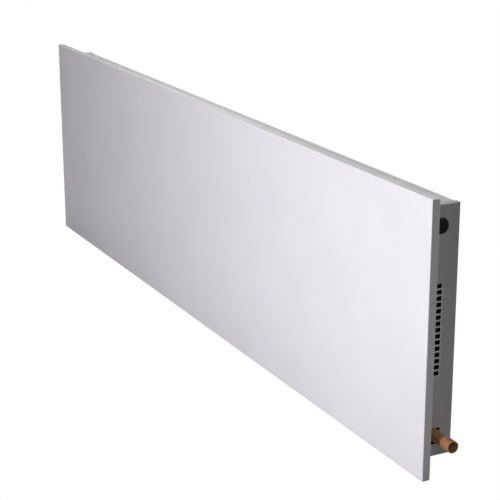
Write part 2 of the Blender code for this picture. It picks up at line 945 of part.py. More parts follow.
def build_front(white, steel):
    pivot = add_pivot("panel_lift", (0, RAIL_FRONT, TOP_HOOK_Z))
    front_panel(pivot, white)
    for place, x in TOP_HANGERS.items():
        panel_hanger("top_hanger_" + place, x, TOP_HOOK_Z, pivot, steel)
    rail_top = CASING_BOTTOM + FRONT_FLANGE
    for place, x in BOTTOM_HANGERS.items():
        panel_hanger("bottom_hanger_" + place, x, rail_top + GAP, pivot, steel)
    for level, share in RIB_LEVELS.items():
        panel_stiffener("panel_stiffener_" + level, HEIGHT * share, pivot, steel)


def main():
    clear_scene()
    steel = galvanised_steel()
    zinc = zinc_plate()
    build_casing(steel, casing_paint(), zinc, black_rubber())
    build_supports(steel, white_nylon(), zinc)
    build_element(copper(), fin_aluminium())
    build_damper(steel)
    build_front(panel_paint(), steel)


main()
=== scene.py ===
"""Looks for the wall-hung baseboard heater: finer pieces, materials, light and camera.

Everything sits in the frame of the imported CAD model, in metres: +X runs to the heater's
right end, the room is on the -Y side, the wall on the +Y side, and +Z is up.
"""

import math

import bmesh
import bpy
from mathutils import Matrix, Vector


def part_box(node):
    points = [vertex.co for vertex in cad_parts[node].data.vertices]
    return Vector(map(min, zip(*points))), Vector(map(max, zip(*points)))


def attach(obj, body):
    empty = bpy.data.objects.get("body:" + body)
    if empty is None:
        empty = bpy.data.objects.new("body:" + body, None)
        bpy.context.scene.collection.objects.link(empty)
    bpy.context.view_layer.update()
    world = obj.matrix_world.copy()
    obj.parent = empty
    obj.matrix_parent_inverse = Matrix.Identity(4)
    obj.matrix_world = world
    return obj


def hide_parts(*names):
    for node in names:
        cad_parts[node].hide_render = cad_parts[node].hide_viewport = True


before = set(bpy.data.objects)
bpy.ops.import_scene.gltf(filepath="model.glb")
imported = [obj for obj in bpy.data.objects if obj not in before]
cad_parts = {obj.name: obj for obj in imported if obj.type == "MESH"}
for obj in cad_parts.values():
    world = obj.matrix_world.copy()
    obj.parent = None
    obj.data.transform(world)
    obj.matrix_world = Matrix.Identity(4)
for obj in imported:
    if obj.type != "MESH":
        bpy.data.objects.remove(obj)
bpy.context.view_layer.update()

MM = 0.001
WELD = 0.001 * MM  # points closer than this are one point

# Sheet metal
PANEL_SHEET = 1.2 * MM
PANEL_FOLD_RADIUS = 1.0 * MM
PANEL_HEM = 7 * MM
CASING_SHEET = 1.0 * MM
CASING_FOLD_RADIUS = 0.7 * MM

# Openings in the end plates
VENT_COUNT = 15
VENT_PITCH = 7.64 * MM
VENT_HEIGHT = 5.3 * MM
VENT_WIDTH = 14 * MM
VENT_TOP = 231.5 * MM
VENT_REAR = 6.8 * MM
VENT_CORNER = 0.3 * MM
PUNCH_ROLL = 0.8 * MM  # rounding that punching leaves on a hole's rim
PUNCH_REACH = 3 * MM  # how far a punch goes past the sheet
PIPE_HOLE = 20.1 * MM
PIPE_HOLE_FORWARD = 1.65 * MM  # hole's centre in front of the tube's
PIPE_HOLE_DROP = 2.15 * MM  # and below it
GROMMET_HOLE_RADIUS = 8.0 * MM
SCREW_HOLE_RADIUS = 2.1 * MM

# Words that end the CAD nodes' names
SIDES = {"right": 1, "left": -1}  # with the direction outwards along X
LEVELS = ("upper", "lower")
SUPPORT_PLACES = ("left", "centre", "right")

# Blanking grommet; heights are measured outwards from the plate's face
GROMMET_DISH = 1.0 * MM  # height of the dished middle
GROMMET_DISH_RADIUS = 5.4 * MM
GROMMET_RING_RADIUS = 2.9 * MM  # small raised ring in the dish
GROMMET_RING = 0.4 * MM
GROMMET_RIM = 1.8 * MM
GROMMET_RIM_ROUND = 0.9 * MM
GROMMET_CREST_RADIUS = 6.8 * MM  # where the rim is at its full height
GROMMET_CREST_ROUND = 0.6 * MM
GROMMET_PLAY = 0.3 * MM  # clearance round the neck and under the rim
GROMMET_BARB = 0.9 * MM  # radius of the barb that holds it in the hole
GROMMET_BARB_DEPTH = 2.2 * MM
GROMMET_BARB_SINK = 0.2 * MM  # its centre inside the neck
GROMMET_LENGTH = 4.0 * MM  # behind the plate's face
GROMMET_TAPER = 1.4 * MM

# Back sheet
BEAD_HEIGHTS = (128 * MM, 172 * MM, 216 * MM)
BEAD_HALF_WIDTH = 9 * MM
BEAD_DEPTH = 1.1 * MM
BEAD_INSET = 60 * MM  # beads stop this far short of each end of the sheet
BEAD_TAPER = 14 * MM  # run over which they fade out
BEAD_STEPS = 6
FIXING_HOLE_RADIUS = 3.0 * MM
SPACER_ROUND = 0.6 * MM
SPACER_GROOVE = 0.8 * MM  # radius of the groove round the ring
SPACER_GROOVE_OUT = 0.3 * MM  # its centre outside the ring

# Screws
SCREW_HEAD = 1.9 * MM
SCREW_HEAD_RADIUS = 3.4 * MM
SCREW_SHANK_RADIUS = 1.7 * MM
SCREW_RIM = 0.8 * MM  # foot of the head's dome
SCREW_DOME_ANGLES = (0.3, 0.6, 0.9, 1.2)  # radians off the axis
SCREW_PLAY = 0.3 * MM  # under the head
SCREW_THREAD = 0.25 * MM
SCREW_THREAD_RISE = 0.35 * MM
SCREW_TURNS = 6
SCREW_POINT = 2 * MM
SCREW_RECESS = (1.9 * MM, 0.42 * MM, 1.2 * MM)  # half length, half width, depth
END_SHANK = 6 * MM
SUPPORT_SHANK = 4.2 * MM

# Heating element
TUBE_WALL = 1.0 * MM
TUBE_LIP = 0.35 * MM  # rounding of the tube's cut ends
FIN_PITCH = 5.5 * MM
FIN_SHEET = 0.25 * MM
FIN_COLLAR = 0.75 * MM
FIN_CORNER = 2.5 * MM
FIN_RIPPLE = ((1.0, 0.0), (0.62, 0.8 * MM), (0.45, 0.0))  # (share of the way out, lift)
FIN_PACK_MARGIN = 1 * MM
GLIDE_BORE = 7.95 * MM
GLIDE_ROUND = 0.5 * MM
GLIDE_GROOVE_DEPTH = 2.4 * MM
GLIDE_GROOVE_HALF = 0.9 * MM

# Studio
CAMERA_PLACE = Vector((1.8636, -0.8936, 0.7526))
CAMERA_AZIMUTH = math.radians(63.037)
CAMERA_ELEVATION = math.radians(17.185)
CAMERA_ROLL = math.radians(-0.076)
CAMERA_LENS = 103.73
CAMERA_SENSOR = 36.0
FLOOR_DROP = 2 * MM
FLOOR_HALF_SIZE = 6.0

PAINTED_SHADE_BLACK = (0.012, 0.012, 0.013)  # painted shade: matt black on the casing's inner faces, standing in for the dark inside


def casing_inside():
    """The box through the middle of the casing's sheets, as (low, high) corners."""
    half_sheet = CASING_SHEET / 2
    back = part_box("back_panel")[1].y
    low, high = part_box("end_plate_left")[0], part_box("end_plate_right")[1]
    deck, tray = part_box("top_deck")[1].z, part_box("bottom_tray")[0].z
    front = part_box("top_deck")[0].y
    return (
        Vector((low.x + half_sheet, front + half_sheet, tray + half_sheet)),
        Vector((high.x - half_sheet, back - half_sheet, deck - half_sheet)),
    )


CASING_INSIDE = casing_inside()


# ---------------------------------------------------------------- material tools

MIX_FACTOR, MIX_A, MIX_B, MIX_RESULT = 0, 6, 7, 2  # sockets of a colour Mix node


class Look:
    """A procedural material under construction, with short ways to add its nodes."""

    def __init__(self, name):
        self.material = bpy.data.materials.new(name)
        self.material.use_nodes = True
        self.tree = self.material.node_tree
        self.shader = self.tree.nodes["Principled BSDF"]
        self.place = self.add("TexCoord", {}).outputs["Object"]

    def put(self, socket, value):
        """Links a socket to another node's output, or sets it to a plain value."""
        if isinstance(value, bpy.types.NodeSocket):
            self.tree.links.new(value, socket)
        elif isinstance(value, tuple) and len(value) == 3 and socket.type == "RGBA":
            socket.default_value = (*value, 1)
        else:
            socket.default_value = value

    def add(self, kind, inputs, **settings):
        made = self.tree.nodes.new("ShaderNode" + kind)
        for key, value in settings.items():
            setattr(made, key, value)
        for key, value in inputs.items():
            self.put(made.inputs[key], value)
        return made

    def finish(self, **inputs):
        """Sets the shader's inputs, named with underscores for spaces."""
        for key, value in inputs.items():
            self.put(self.shader.inputs[key.replace("_", " ")], value)
        return self.material

    def stretched(self, scale):
        mapping = self.add("Mapping", {"Vector": self.place, "Scale": scale})
        return mapping.outputs["Vector"]

    def noise(self, size, detail=3.0, stretch=None):
        """Noise between about 0.3 and 0.7 whose blotches are about this big."""
        place = self.stretched(stretch) if stretch else self.place
        made = self.add("TexNoise", {"Vector": place, "Scale": 1 / size, "Detail": detail})
        return made.outputs["Fac"]

    def remap(self, value, from_low, from_high, to_low, to_high):
        made = self.add(
            "MapRange",
            {
                "Value": value,
                "From Min": from_low,
                "From Max": from_high,
                "To Min": to_low,
                "To Max": to_high,
            },
        )
        return made.outputs["Result"]

    def blend(self, factor, first, second):
        made = self.add("Mix", {}, data_type="RGBA")
        self.put(made.inputs[MIX_FACTOR], factor)
        self.put(made.inputs[MIX_A], first)
        self.put(made.inputs[MIX_B], second)
        return made.outputs[MIX_RESULT]

    def math(self, operation, first, second):
        made = self.add("Math", {0: first, 1: second}, operation=operation)
        return made.outputs[0]

    def rounded(self, radius):
        """Surface normal as if every edge had this radius."""
        return self.add("Bevel", {"Radius": radius}, samples=4).outputs["Normal"]

    def near_edges(self, radius):
        """1 on edges, falling to 0 at this distance from them."""
        plain = self.add("NewGeometry", {}).outputs["Normal"]
        turned = self.add("VectorMath", {0: self.rounded(radius), 1: plain}, operation="DOT_PRODUCT")
        return self.remap(turned.outputs["Value"], 0.98, 0.8, 0, 1)

    def shade_painted_inside_casing(self):
        """1 on the casing's inner faces, where shade is painted in matt black, 0 outside: the box
        runs through the sheets' middles.

        Faces turned to the wall count as outside down to the bottom of the pressed beads.
        """
        low, high = CASING_INSIDE
        offset = self.add("VectorMath", {0: self.place, 1: (low + high) / 2}, operation="SUBTRACT")
        distance = self.add("VectorMath", {0: offset.outputs["Vector"]}, operation="ABSOLUTE")
        beyond = self.add(
            "VectorMath", {0: distance.outputs["Vector"], 1: (high - low) / 2}, operation="SUBTRACT"
        )
        parts = self.add("SeparateXYZ", {"Vector": beyond.outputs["Vector"]})
        facing = self.add("SeparateXYZ", {"Vector": self.add("NewGeometry", {}).outputs["Normal"]})
        to_wall = self.math("GREATER_THAN", facing.outputs["Y"], 0.3)
        pressed = self.math("MULTIPLY", to_wall, BEAD_DEPTH)
        behind = self.math("ADD", parts.outputs["Y"], pressed)
        largest = self.math("MAXIMUM", parts.outputs["X"], behind)
        largest = self.math("MAXIMUM", largest, parts.outputs["Z"])
        return self.math("LESS_THAN", largest, 0.0)

    def in_bore(self):
        """1 on the inner wall of the water tube, 0 outside; the piece is drawn about Z."""
        low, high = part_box("element_tube")
        middle_of_wall = (high.z - low.z) / 2 - TUBE_WALL / 2
        parts = self.add("SeparateXYZ", {"Vector": self.place})
        squares = [self.math("POWER", parts.outputs[axis], 2.0) for axis in "XY"]
        radius = self.math("SQRT", self.math("ADD", *squares), 0.0)
        return self.math("LESS_THAN", radius, middle_of_wall)

    def bumped(self, height, distance, normal=None):
        inputs = {"Height": height, "Distance": distance}
        if normal is not None:
            inputs["Normal"] = normal
        return self.add("Bump", inputs).outputs["Normal"]


# ---------------------------------------------------------------- materials


def enamel(name, colour, worn, roughness, peel_size, peel_depth):
    """Baked enamel: orange peel, faint cloudiness, and paint drawn thin at the edges; the casing's
    inner faces get matt black as painted shade.
    """
    look = Look(name)
    clouds = look.remap(look.noise(90 * MM), 0.3, 0.7, 0, 1)
    specks = look.remap(look.noise(1.6 * MM, detail=2), 0.35, 0.65, 0, 1)
    darker = tuple(0.965 * c for c in colour)
    cloudy = look.blend(clouds, colour, darker)
    speckled = look.blend(look.math("MULTIPLY", specks, 0.12), cloudy, worn)
    edges = look.near_edges(0.5 * MM)
    chips = look.remap(look.noise(5 * MM, detail=6), 0.52, 0.6, 0, 0.35)
    painted = look.blend(look.math("MULTIPLY", edges, chips), speckled, worn)
    smears = look.noise(35 * MM, detail=5, stretch=(1, 1, 0.4))
    peel = look.noise(peel_size, detail=1)
    # painted shade: the casing's inner faces turn matt black
    inside = look.shade_painted_inside_casing()
    plain = look.remap(smears, 0.3, 0.7, roughness - 0.05, roughness + 0.06)
    return look.finish(
        Base_Color=look.blend(inside, painted, PAINTED_SHADE_BLACK),
        Roughness=look.math("MAXIMUM", plain, look.math("MULTIPLY", inside, 0.8)),
        Normal=look.bumped(peel, peel_depth, normal=look.rounded(0.35 * MM)),
    )


def panel_enamel():
    white, worn = (0.84, 0.84, 0.84), (0.6, 0.6, 0.6)
    return enamel("panel_white_enamel", white, worn, 0.36, 1.5 * MM, 0.02 * MM)


def casing_enamel():
    grey, worn = (0.53, 0.53, 0.53), (0.62, 0.62, 0.61)
    return enamel("casing_grey_enamel", grey, worn, 0.5, 0.9 * MM, 0.03 * MM)


def deck_enamel_painted_light():
    # painted light: the casing's grey made lighter on the top deck, standing in for the light that
    # falls on it
    grey, worn = (0.70, 0.70, 0.70), (0.73, 0.73, 0.72)
    return enamel("deck_grey_enamel_painted_light", grey, worn, 0.5, 0.9 * MM, 0.03 * MM)


def galvanised_steel(name="galvanised_steel", painted_shade=False):
    """Hot-dip zinc: flat crystals of slightly different grey, dulled by white bloom."""
    look = Look(name)
    wobble = look.add("TexNoise", {"Vector": look.place, "Scale": 60.0, "Detail": 2.0})
    swing = (0.006, 0.006, 0.006)
    shifted = look.add(
        "VectorMath",
        {0: wobble.outputs["Color"], 1: swing, 2: look.place},
        operation="MULTIPLY_ADD",
    )
    crystals = look.add("TexVoronoi", {"Vector": shifted.outputs["Vector"], "Scale": 95.0})
    shade = look.add("SeparateColor", {"Color": crystals.outputs["Color"]}).outputs["Red"]
    metal = look.blend(shade, (0.44, 0.46, 0.48), (0.60, 0.61, 0.62))
    bloom = look.remap(look.noise(40 * MM, detail=8), 0.5, 0.72, 0, 0.55)
    bloomed = look.blend(bloom, metal, (0.66, 0.67, 0.67))
    edges = look.near_edges(0.5 * MM)
    zinc = look.blend(look.math("MULTIPLY", edges, 0.5), bloomed, (0.36, 0.36, 0.37))
    # painted shade: the casing's inner faces turn matt black
    if painted_shade:
        inside = look.shade_painted_inside_casing()
    else:
        inside = 0.0
    plain = look.remap(shade, 0, 1, 0.34, 0.52)
    return look.finish(
        Base_Color=look.blend(inside, zinc, PAINTED_SHADE_BLACK),
        Metallic=look.math("SUBTRACT", look.remap(bloom, 0, 0.55, 0.9, 0.55), inside),
        Roughness=look.math("MAXIMUM", plain, look.math("MULTIPLY", inside, 0.8)),
        Normal=look.bumped(shade, 0.02 * MM, normal=look.rounded(0.3 * MM)),
    )


def punched_edge_painted_highlight():
    """The pale edge of a punched hole, streaked through the sheet's thickness; its pale colour is a
    painted highlight on the vents' rims.
    """
    look = Look("punched_edge_painted_highlight")
    streaks = look.noise(0.6 * MM, detail=3, stretch=(0.1, 1, 1))
    streaky = look.remap(streaks, 0.35, 0.65, 0, 1)
    return look.finish(
        Base_Color=look.blend(streaky, (0.90, 0.90, 0.89), (0.80, 0.80, 0.79)),
        Metallic=0.1,
        Roughness=look.remap(streaks, 0.3, 0.7, 0.4, 0.55),
        Normal=look.bumped(streaks, 0.01 * MM),
    )


def zinc_plate():
    """Bright zinc plating on the screws, slightly yellowed in patches."""
    look = Look("zinc_plate")
    patches = look.remap(look.noise(2.5 * MM), 0.35, 0.65, 0, 1)
    scratches = look.noise(0.3 * MM, detail=4, stretch=(1, 4, 1))
    return look.finish(
        Base_Color=look.blend(patches, (0.60, 0.60, 0.59), (0.60, 0.57, 0.48)),
        Metallic=1.0,
        Roughness=look.remap(scratches, 0.3, 0.7, 0.26, 0.42),
        Normal=look.bumped(scratches, 0.02 * MM, normal=look.rounded(0.15 * MM)),
    )


def copper():
    """Drawn copper tube: lines along its length, brown oxide blotches, and a brown bore made pale
    and matt as painted light for light bounced into the tube.
    """
    look = Look("copper")
    drawn = look.noise(1.1 * MM, detail=3, stretch=(1, 1, 0.03))
    lines = look.remap(drawn, 0.35, 0.65, 0, 1)
    tarnish = look.remap(look.noise(7 * MM, detail=6), 0.42, 0.66, 0, 1)
    fresh = look.blend(lines, (0.56, 0.265, 0.125), (0.72, 0.36, 0.18))
    aged = look.blend(look.math("MULTIPLY", tarnish, 0.4), fresh, (0.34, 0.16, 0.085))
    # painted light: the bore is pale matt brown, standing in for light bounced into the tube
    bore = look.in_bore()
    return look.finish(
        Base_Color=look.blend(bore, aged, (0.66, 0.41, 0.25)),
        Metallic=look.remap(bore, 0, 1, 0.5, 0.0),
        Roughness=look.remap(drawn, 0.3, 0.7, 0.2, 0.4),
        Normal=look.bumped(drawn, 0.015 * MM),
    )


def fin_aluminium():
    """Thin rolled aluminium with roll lines and faint handling marks."""
    look = Look("fin_aluminium")
    rolled = look.noise(0.7 * MM, detail=2, stretch=(1, 1, 0.05))
    marks = look.remap(look.noise(12 * MM, detail=5), 0.45, 0.7, 0, 1)
    return look.finish(
        Base_Color=look.blend(marks, (0.74, 0.75, 0.76), (0.62, 0.63, 0.64)),
        Metallic=1.0,
        Roughness=look.remap(marks, 0, 1, 0.28, 0.45),
        Normal=look.bumped(rolled, 0.01 * MM),
    )


def black_rubber():
    """Moulded rubber: fine matt texture and a little pale dust."""
    look = Look("black_rubber")
    grain = look.noise(0.35 * MM, detail=3)
    dust = look.remap(look.noise(3 * MM, detail=6), 0.5, 0.75, 0, 0.5)
    return look.finish(
        Base_Color=look.blend(dust, (0.004, 0.004, 0.004), (0.02, 0.02, 0.02)),
        Roughness=look.remap(grain, 0.3, 0.7, 0.5, 0.68),
        Normal=look.bumped(grain, 0.02 * MM),
    )


def white_nylon():
    """Translucent cream nylon with a faint flow pattern."""
    look = Look("white_nylon")
    flow = look.remap(look.noise(4 * MM, detail=3, stretch=(1, 0.5, 1)), 0.3, 0.7, 0, 1)
    return look.finish(
        Base_Color=look.blend(flow, (0.78, 0.77, 0.72), (0.70, 0.68, 0.60)),
        Subsurface_Weight=0.25,
        Subsurface_Scale=1.5 * MM,
        Roughness=look.remap(flow, 0, 1, 0.38, 0.5),
        Normal=look.bumped(look.noise(0.5 * MM), 0.01 * MM),
    )


# ---------------------------------------------------------------- shape tools


def add_piece(name, source, body, look, replaces=(), place=None):
    """Makes a bmesh into a piece that rides on a body, drawn in the frame or placed in it."""
    bmesh.ops.recalc_face_normals(source, faces=source.faces)
    mesh = bpy.data.meshes.new(name)
    source.to_mesh(mesh)
    source.free()
    piece = bpy.data.objects.new(name, mesh)
    bpy.context.scene.collection.objects.link(piece)
    piece.matrix_world = place or Matrix.Identity(4)
    mesh.materials.append(look)
    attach(piece, body)
    if replaces:
        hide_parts(*replaces)
    return piece


def smooth(piece, angle=35):
    """Smooth shading that leaves flat faces flat and keeps real corners sharp."""
    piece.data.shade_smooth()
    piece.data.set_sharp_from_angle(angle=math.radians(angle))
    weighted = piece.modifiers.new("flat faces stay flat", "WEIGHTED_NORMAL")
    weighted.keep_sharp = True


def thicken(piece, thickness):
    solidify = piece.modifiers.new("thickness", "SOLIDIFY")
    solidify.thickness = thickness
    solidify.offset = -1
    solidify.use_even_offset = True


def cut(piece, tool_source, cut_look=None):
    """Cuts a bmesh tool shape out of a piece for good; the cut faces may look different."""
    bmesh.ops.recalc_face_normals(tool_source, faces=tool_source.faces)
    mesh = bpy.data.meshes.new("cutter")
    tool_source.to_mesh(mesh)
    tool_source.free()
    if cut_look:
        mesh.materials.append(cut_look)
    cutter = bpy.data.objects.new("cutter", mesh)
    bpy.context.scene.collection.objects.link(cutter)
    boolean = piece.modifiers.new("cut", "BOOLEAN")
    boolean.operation = "DIFFERENCE"
    boolean.solver = "EXACT"
    boolean.material_mode = "TRANSFER" if cut_look else "INDEX"
    boolean.object = cutter
    settle(piece)
    bpy.data.objects.remove(cutter)


def settle(piece):
    """Replaces a piece's mesh by what its modifiers make of it."""
    graph = bpy.context.evaluated_depsgraph_get()
    settled = bpy.data.meshes.new_from_object(piece.evaluated_get(graph))
    piece.modifiers.clear()
    piece.data = settled


def box_into(target, low, high):
    made = bmesh.ops.create_cube(target, size=1)["verts"]
    size = [b - a for a, b in zip(low, high)]
    middle = [(a + b) / 2 for a, b in zip(low, high)]
    bmesh.ops.scale(target, vec=size, verts=made)
    bmesh.ops.translate(target, vec=middle, verts=made)


def rod_into(target, radius, low, high):
    """A closed cylinder between two points."""
    low, high = Vector(low), Vector(high)
    turn = (high - low).to_track_quat("Z", "Y").to_matrix().to_4x4()
    bmesh.ops.create_cone(
        target,
        cap_ends=True,
        segments=32,
        radius1=radius,
        radius2=radius,
        depth=(high - low).length,
        matrix=Matrix.Translation((low + high) / 2) @ turn,
    )


def turned(outline, sides):
    """Spins (radius, height) points about Z; an outline off the axis is closed up."""
    target = bmesh.new()
    points = [target.verts.new((radius, 0, height)) for radius, height in outline]
    edges = [target.edges.new(pair) for pair in zip(points, points[1:])]
    if outline[0][0] > 0:
        edges.append(target.edges.new((points[-1], points[0])))
    bmesh.ops.spin(
        target,
        geom=points + edges,
        cent=(0, 0, 0),
        axis=(0, 0, 1),
        angle=2 * math.pi,
        steps=sides,
        use_merge=True,
    )
    bmesh.ops.remove_doubles(target, verts=target.verts, dist=WELD)
    return target


def arc(centre, radius, start, end, steps):
    """Points on an arc in the outline plane, angles in degrees."""
    angles = [math.radians(start + (end - start) * i / steps) for i in range(steps + 1)]
    return [(centre[0] + radius * math.cos(a), centre[1] + radius * math.sin(a)) for a in angles]


def rounded_rectangle(half_width, half_height, corner, steps):
    """Points round a rectangle with arcs at its corners, anticlockwise."""
    points = []
    for turn, (across, up) in enumerate(((1, 1), (-1, 1), (-1, -1), (1, -1))):
        centre = (across * (half_width - corner), up * (half_height - corner))
        points += arc(centre, corner, 90 * turn, 90 * turn + 90, steps)
    return points


def bridge(target, rings):
    """Faces between each closed ring of vertices and the next."""
    for near, far in zip(rings, rings[1:]):
        for i in range(len(near)):
            j = (i + 1) % len(near)
            target.faces.new((near[i], near[j], far[j], far[i]))


def punch_into(target, centre, half_width, half_height, corner, face, side):
    """A punch through a plate's outer face; it flares there, which rolls the hole's rim."""
    middle_y, middle_z = centre
    profile = [(PUNCH_REACH, 0.0)]  # (depth below the face, how much wider)
    profile += [(PUNCH_ROLL - z, PUNCH_ROLL - y) for y, z in arc((0, 0), PUNCH_ROLL, 0, 90, 3)]
    profile += [(-PUNCH_REACH, PUNCH_ROLL)]
    rings = []
    for depth, wider in profile:
        outline = rounded_rectangle(half_width + wider, half_height + wider, corner + wider, 6)
        x = face - side * depth
        rings.append([target.verts.new((x, middle_y + y, middle_z + z)) for y, z in outline])
    bridge(target, rings)
    target.faces.new(rings[0])
    target.faces.new(rings[-1])
    bmesh.ops.remove_doubles(target, verts=target.verts, dist=WELD)


def tray(low, high, open_side, radius, hem=0.0):
    """A box with one side left open, maybe behind a hem, and its outer folds rounded."""
    target = bmesh.new()
    box_into(target, low, high)
    target.normal_update()
    open_face = max(target.faces, key=lambda face: face.normal.dot(Vector(open_side)))
    if hem:
        bmesh.ops.inset_individual(target, faces=[open_face], thickness=hem)
    bmesh.ops.delete(target, geom=[open_face], context="FACES_ONLY")
    folds = [edge for edge in target.edges if len(edge.link_faces) == 2]
    bmesh.ops.bevel(target, geom=folds, offset=radius, segments=4, profile=0.5, affect="EDGES")
    return target


def along_x(x, y, z, side=1):
    """Places a piece drawn about Z so that its Z runs along X, outwards at that side."""
    turn = Matrix.Rotation(side * math.pi / 2, 4, "Y")
    return Matrix.Translation((x, y, z)) @ turn


def towards_room(x, y, z):
    """Places a piece drawn about Z so that its Z points towards the room."""
    return Matrix.Translation((x, y, z)) @ Matrix.Rotation(math.pi / 2, 4, "X")


def middle_of(node):
    low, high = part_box(node)
    return (low + high) / 2


# ---------------------------------------------------------------- front panel


def front_panel(look):
    """Painted tray with rounded folds and a narrow hem turned in behind them."""
    low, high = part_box("front_panel")
    panel = add_piece(
        "front_panel_tray",
        tray(low, high, (0, 1, 0), PANEL_FOLD_RADIUS, PANEL_HEM),
        "front_cover",
        look,
        replaces=["front_panel"],
    )
    thicken(panel, PANEL_SHEET)
    settle(panel)
    smooth(panel)


# ---------------------------------------------------------------- casing


def end_plate_punches(side_name, face, side):
    """All the punches that open one end plate."""
    target = bmesh.new()
    vent_middle = VENT_REAR - VENT_WIDTH / 2
    for i in range(VENT_COUNT):
        centre = (vent_middle, VENT_TOP - VENT_HEIGHT / 2 - i * VENT_PITCH)
        punch_into(target, centre, VENT_WIDTH / 2, VENT_HEIGHT / 2, VENT_CORNER, face, side)
    tube = middle_of("element_tube")
    centre = (tube.y - PIPE_HOLE_FORWARD, tube.z - PIPE_HOLE_DROP)
    punch_into(target, centre, PIPE_HOLE / 2, PIPE_HOLE / 2, VENT_CORNER, face, side)
    round_holes = {"blanking_grommet_" + side_name: GROMMET_HOLE_RADIUS}
    for level in LEVELS:
        round_holes[f"end_screw_{side_name}_{level}"] = SCREW_HOLE_RADIUS
    for filler, radius in round_holes.items():
        middle = middle_of(filler)
        punch_into(target, (middle.y, middle.z), radius, radius, radius, face, side)
    return target


def end_plate(side_name, side, look, rim_highlight_look):
    """End plate: folded tray with vent slots, grommet hole, pipe hole and screw holes."""
    node = "end_plate_" + side_name
    low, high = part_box(node)
    face = high.x if side > 0 else low.x
    plate = add_piece(
        node + "_tray",
        tray(low, high, (-side, 0, 0), CASING_FOLD_RADIUS),
        "casing",
        look,
        replaces=[node],
    )
    thicken(plate, CASING_SHEET)
    cut(plate, end_plate_punches(side_name, face, side), rim_highlight_look)
    smooth(plate)


def fade(distance, reach):
    """Smooth 1 to 0 as the distance goes from 0 to the reach."""
    t = min(1.0, max(0.0, distance / reach))
    return 0.5 + 0.5 * math.cos(math.pi * t)


def beaded_sheet(low, high):
    """A sheet facing the wall with long pressed beads, its two ends folded forward."""
    taper_start = low.x + BEAD_INSET - BEAD_TAPER
    columns = [low.x]
    columns += [taper_start + BEAD_TAPER * i / BEAD_STEPS for i in range(BEAD_STEPS + 1)]
    columns += [-x for x in reversed(columns)]
    rows = [low.z]
    for centre in BEAD_HEIGHTS:
        spread = range(-BEAD_STEPS, BEAD_STEPS + 1)
        rows += [centre + BEAD_HALF_WIDTH * i / BEAD_STEPS for i in spread]
    rows.append(high.z)

    def pressed(x, z):
        """How far the sheet is pressed forward at a point."""
        nearest = min(abs(z - centre) for centre in BEAD_HEIGHTS)
        inset = min(x - low.x, high.x - x)
        across = fade(nearest, BEAD_HALF_WIDTH)
        return BEAD_DEPTH * across * fade(BEAD_INSET - inset, BEAD_TAPER)

    target = bmesh.new()
    grid = [[target.verts.new((x, high.y - pressed(x, z), z)) for z in rows] for x in columns]
    folds = [[target.verts.new((x, low.y, z)) for z in rows] for x in (columns[0], columns[-1])]
    strips = [folds[0], *grid, folds[1]]
    for near, far in zip(strips, strips[1:]):
        for i in range(len(rows) - 1):
            target.faces.new((near[i], near[i + 1], far[i + 1], far[i]))
    return target


def back_panel(look):
    """Back sheet with its ends folded forward, beads, and holes for every fixing."""
    low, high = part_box("back_panel")
    sheet = add_piece(
        "back_panel_sheet",
        beaded_sheet(low, high),
        "casing",
        look,
        replaces=["back_panel"],
    )
    thicken(sheet, CASING_SHEET)
    radii = {}
    for level in LEVELS:
        for side_name in SIDES:
            radii[f"wall_spacer_{side_name}_{level}"] = FIXING_HOLE_RADIUS
        for place in SUPPORT_PLACES:
            radii[f"support_screw_{place}_{level}"] = SCREW_HOLE_RADIUS
    holes = bmesh.new()
    near, far = high.y - PUNCH_REACH, high.y + PUNCH_REACH
    for node, radius in radii.items():
        middle = middle_of(node)
        rod_into(holes, radius, (middle.x, near, middle.z), (middle.x, far, middle.z))
    cut(sheet, holes)
    smooth(sheet)


def grommet_outline(radius):
    """Half section: dished face with a small ring, rounded rim, neck and barb."""
    neck = GROMMET_HOLE_RADIUS - GROMMET_PLAY
    crest = (GROMMET_CREST_RADIUS, GROMMET_RIM - GROMMET_CREST_ROUND)
    rim = (radius - GROMMET_RIM_ROUND, GROMMET_RIM - GROMMET_RIM_ROUND)
    barb = (neck - GROMMET_BARB_SINK, -GROMMET_BARB_DEPTH)
    outline = [(0, GROMMET_DISH)]
    outline += arc((GROMMET_RING_RADIUS, GROMMET_DISH), GROMMET_RING, 180, 0, 6)
    outline += [(GROMMET_DISH_RADIUS, GROMMET_DISH)]
    outline += arc(crest, GROMMET_CREST_ROUND, 180, 90, 4)
    outline += arc(rim, GROMMET_RIM_ROUND, 90, 0, 6)
    outline += [(radius, GROMMET_PLAY), (neck, GROMMET_PLAY)]
    outline += [(neck, GROMMET_BARB - GROMMET_BARB_DEPTH)]
    outline += arc(barb, GROMMET_BARB, 90, -45, 6)
    outline += [(neck - GROMMET_TAPER, -GROMMET_LENGTH), (0, -GROMMET_LENGTH)]
    return outline


def blanking_grommet(side_name, side, look):
    """Moulded plug that closes an end plate's pass-through."""
    node = "blanking_grommet_" + side_name
    low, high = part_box(node)
    middle = middle_of(node)
    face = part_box("end_plate_" + side_name)[side > 0].x
    plug = add_piece(
        node + "_plug",
        turned(grommet_outline((high.z - low.z) / 2), 48),
        "casing",
        look,
        replaces=[node],
        place=along_x(face, middle.y, middle.z, side),
    )
    smooth(plug)


def spacer_outline(radius, thickness):
    """Section of the ring: four rounded corners and a shallow groove outside."""
    inner = FIXING_HOLE_RADIUS + SPACER_ROUND
    outer = radius - SPACER_ROUND
    low, high = SPACER_ROUND, thickness - SPACER_ROUND
    groove = (radius + SPACER_GROOVE_OUT, thickness / 2)
    outline = arc((inner, low), SPACER_ROUND, 180, 270, 4)
    outline += arc((outer, low), SPACER_ROUND, 270, 360, 4)
    outline += arc(groove, SPACER_GROOVE, 240, 120, 6)
    outline += arc((outer, high), SPACER_ROUND, 0, 90, 4)
    outline += arc((inner, high), SPACER_ROUND, 90, 180, 4)
    return outline


